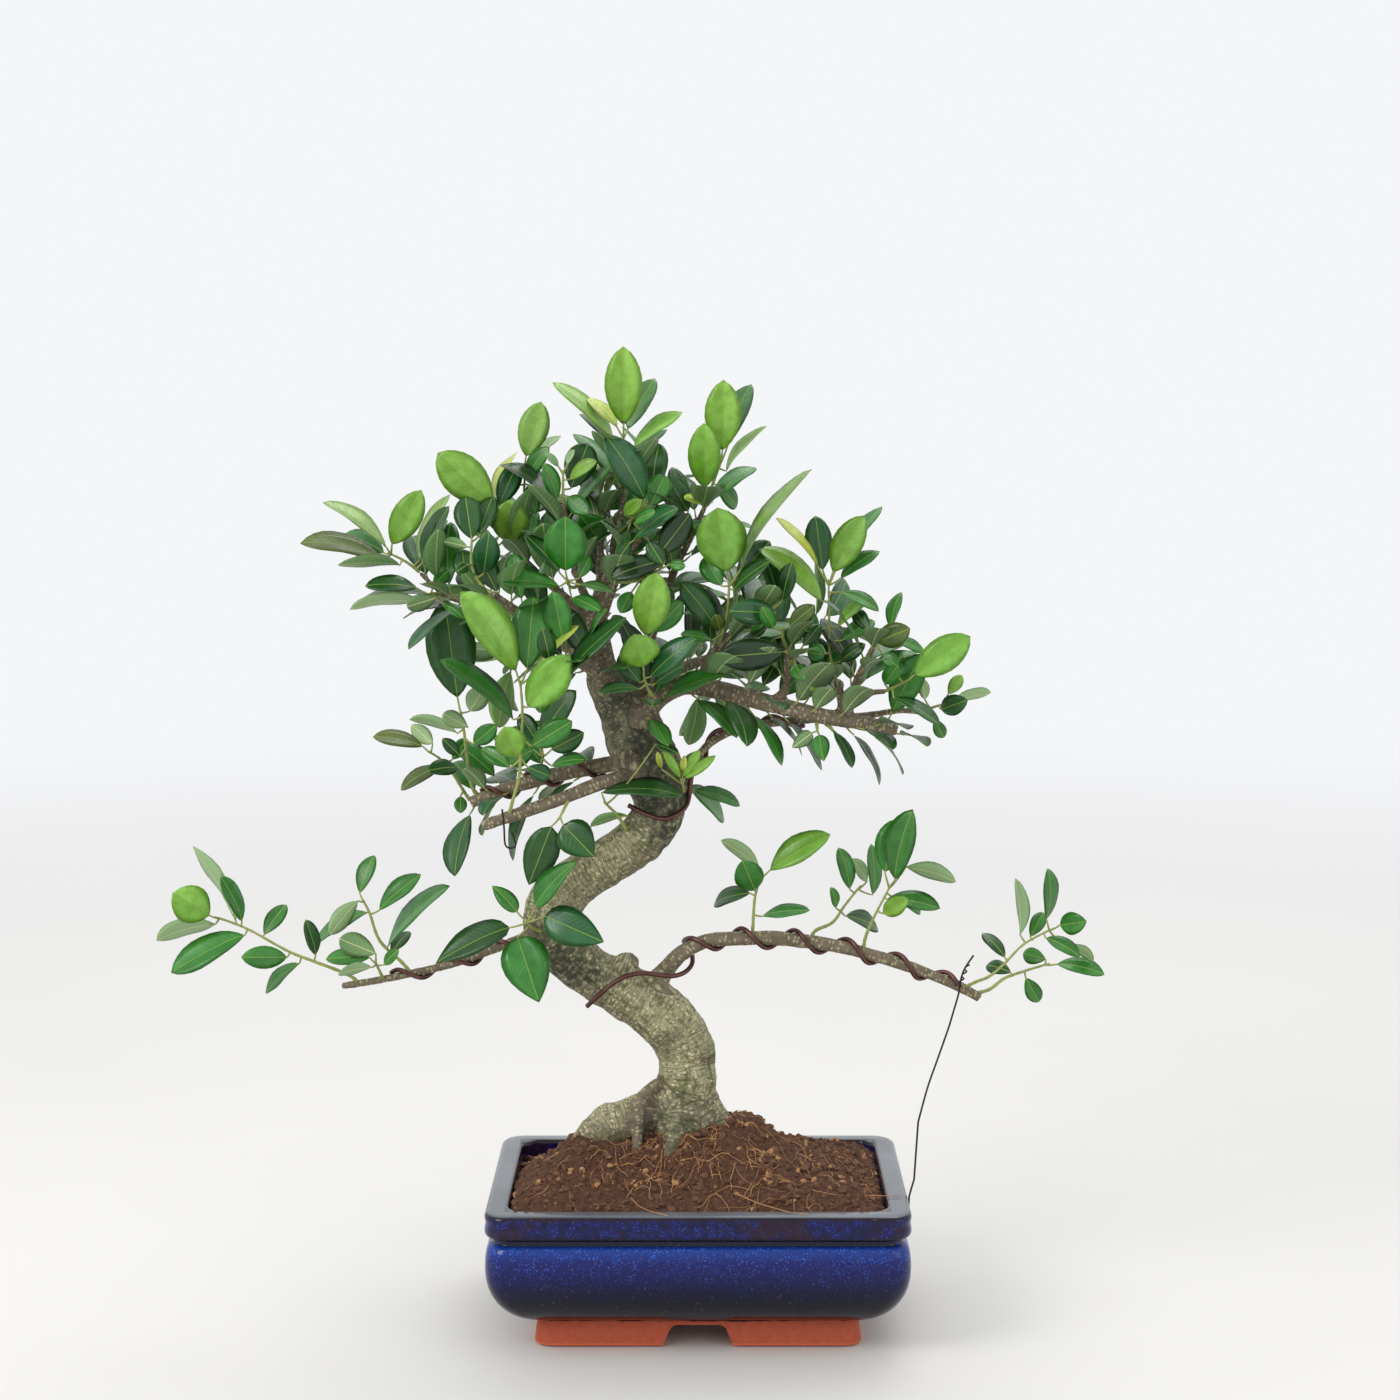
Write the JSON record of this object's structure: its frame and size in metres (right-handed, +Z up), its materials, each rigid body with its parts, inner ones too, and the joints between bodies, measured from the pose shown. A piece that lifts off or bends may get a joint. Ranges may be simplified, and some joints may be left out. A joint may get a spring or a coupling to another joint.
{
  "type": "potted bonsai tree",
  "caption": "Wired ficus bonsai with a sharply bent trunk and spreading leafy branches, growing in a low rectangular glazed pot on feet.",
  "frame": {"origin": "middle of the whole object's footprint, leaves included, on the surface that the pot's feet stand on", "axes": "+Z up; +X to the viewer's right along the pot's long side; the viewer looks along +Y, so -Y is the front"},
  "size_m": [0.4928, 0.1916, 0.506],
  "materials": {
    "cobalt_glaze": "glossy cobalt blue glaze over terracotta, bare on the feet",
    "black_mesh": "moulded plastic mesh",
    "potting_soil": "crumbly brown bark and peat mix",
    "ficus_bark": "grey-green bark with ring creases and pale spots",
    "brown_anodised_wire": "brown anodised, satin",
    "dark_steel_wire": "dark annealed steel",
    "ficus_leaf": "glossy leathery leaf, paler below"
  },
  "bodies": {
    "root": {"drainage_screen_left": "black_mesh", "drainage_screen_right": "black_mesh", "pot": "cobalt_glaze", "shoot_behind_upper_bend": "ficus_leaf", "shoot_bend": "ficus_leaf", "shoot_centre_big": "ficus_leaf", "shoot_centre_low": "ficus_leaf", "shoot_centre_top": "ficus_leaf", "shoot_crown_tip": "ficus_leaf", "shoot_crown_tip_low": "ficus_leaf", "shoot_far_left": "ficus_leaf", "shoot_far_left_low": "ficus_leaf", "shoot_front_bright": "ficus_leaf", "shoot_front_heart": "ficus_leaf", "shoot_front_left_long": "ficus_leaf", "shoot_inner_left_round": "ficus_leaf", "shoot_inner_left_top": "ficus_leaf", "shoot_left_bright": "ficus_leaf", "shoot_left_crown": "ficus_leaf", "shoot_left_crown_bright": "ficus_leaf", "shoot_left_crown_top": "ficus_leaf", "shoot_left_dark": "ficus_leaf", "shoot_left_front_hanging": "ficus_leaf", "shoot_left_inner": "ficus_leaf", "shoot_left_mid_tip": "ficus_leaf", "shoot_low_left_lower": "ficus_leaf", "shoot_low_left_tip": "ficus_leaf", "shoot_low_left_upper": "ficus_leaf", "shoot_low_right_1": "ficus_leaf", "shoot_low_right_2": "ficus_leaf", "shoot_low_right_3": "ficus_leaf", "shoot_low_right_tip": "ficus_leaf", "shoot_low_right_tip_side": "ficus_leaf", "shoot_mid_right_hanging": "ficus_leaf", "shoot_rear_left_end": "ficus_leaf", "shoot_rear_left_low": "ficus_leaf", "shoot_rear_right_end": "ficus_leaf", "shoot_rear_right_low": "ficus_leaf", "shoot_rear_right_mid": "ficus_leaf", "shoot_rear_top_end": "ficus_leaf", "shoot_rear_top_mid": "ficus_leaf", "shoot_right_crown_inner": "ficus_leaf", "shoot_right_crown_low": "ficus_leaf", "shoot_right_crown_mid": "ficus_leaf", "shoot_right_crown_top": "ficus_leaf", "shoot_right_dark": "ficus_leaf", "shoot_right_far": "ficus_leaf", "shoot_right_horizontal": "ficus_leaf", "shoot_right_round": "ficus_leaf", "shoot_right_tall": "ficus_leaf", "shoot_thin_right_tip": "ficus_leaf", "shoot_under_bend_right": "ficus_leaf", "soil": "potting_soil", "tie_down_wire": "dark_steel_wire", "training_wire_low_left": "brown_anodised_wire", "training_wire_low_right": "brown_anodised_wire", "training_wire_mid_left": "brown_anodised_wire", "training_wire_mid_right": "brown_anodised_wire", "trunk_and_branches": "ficus_bark", "wire_clip": "dark_steel_wire"}
  },
  "joints": []
}
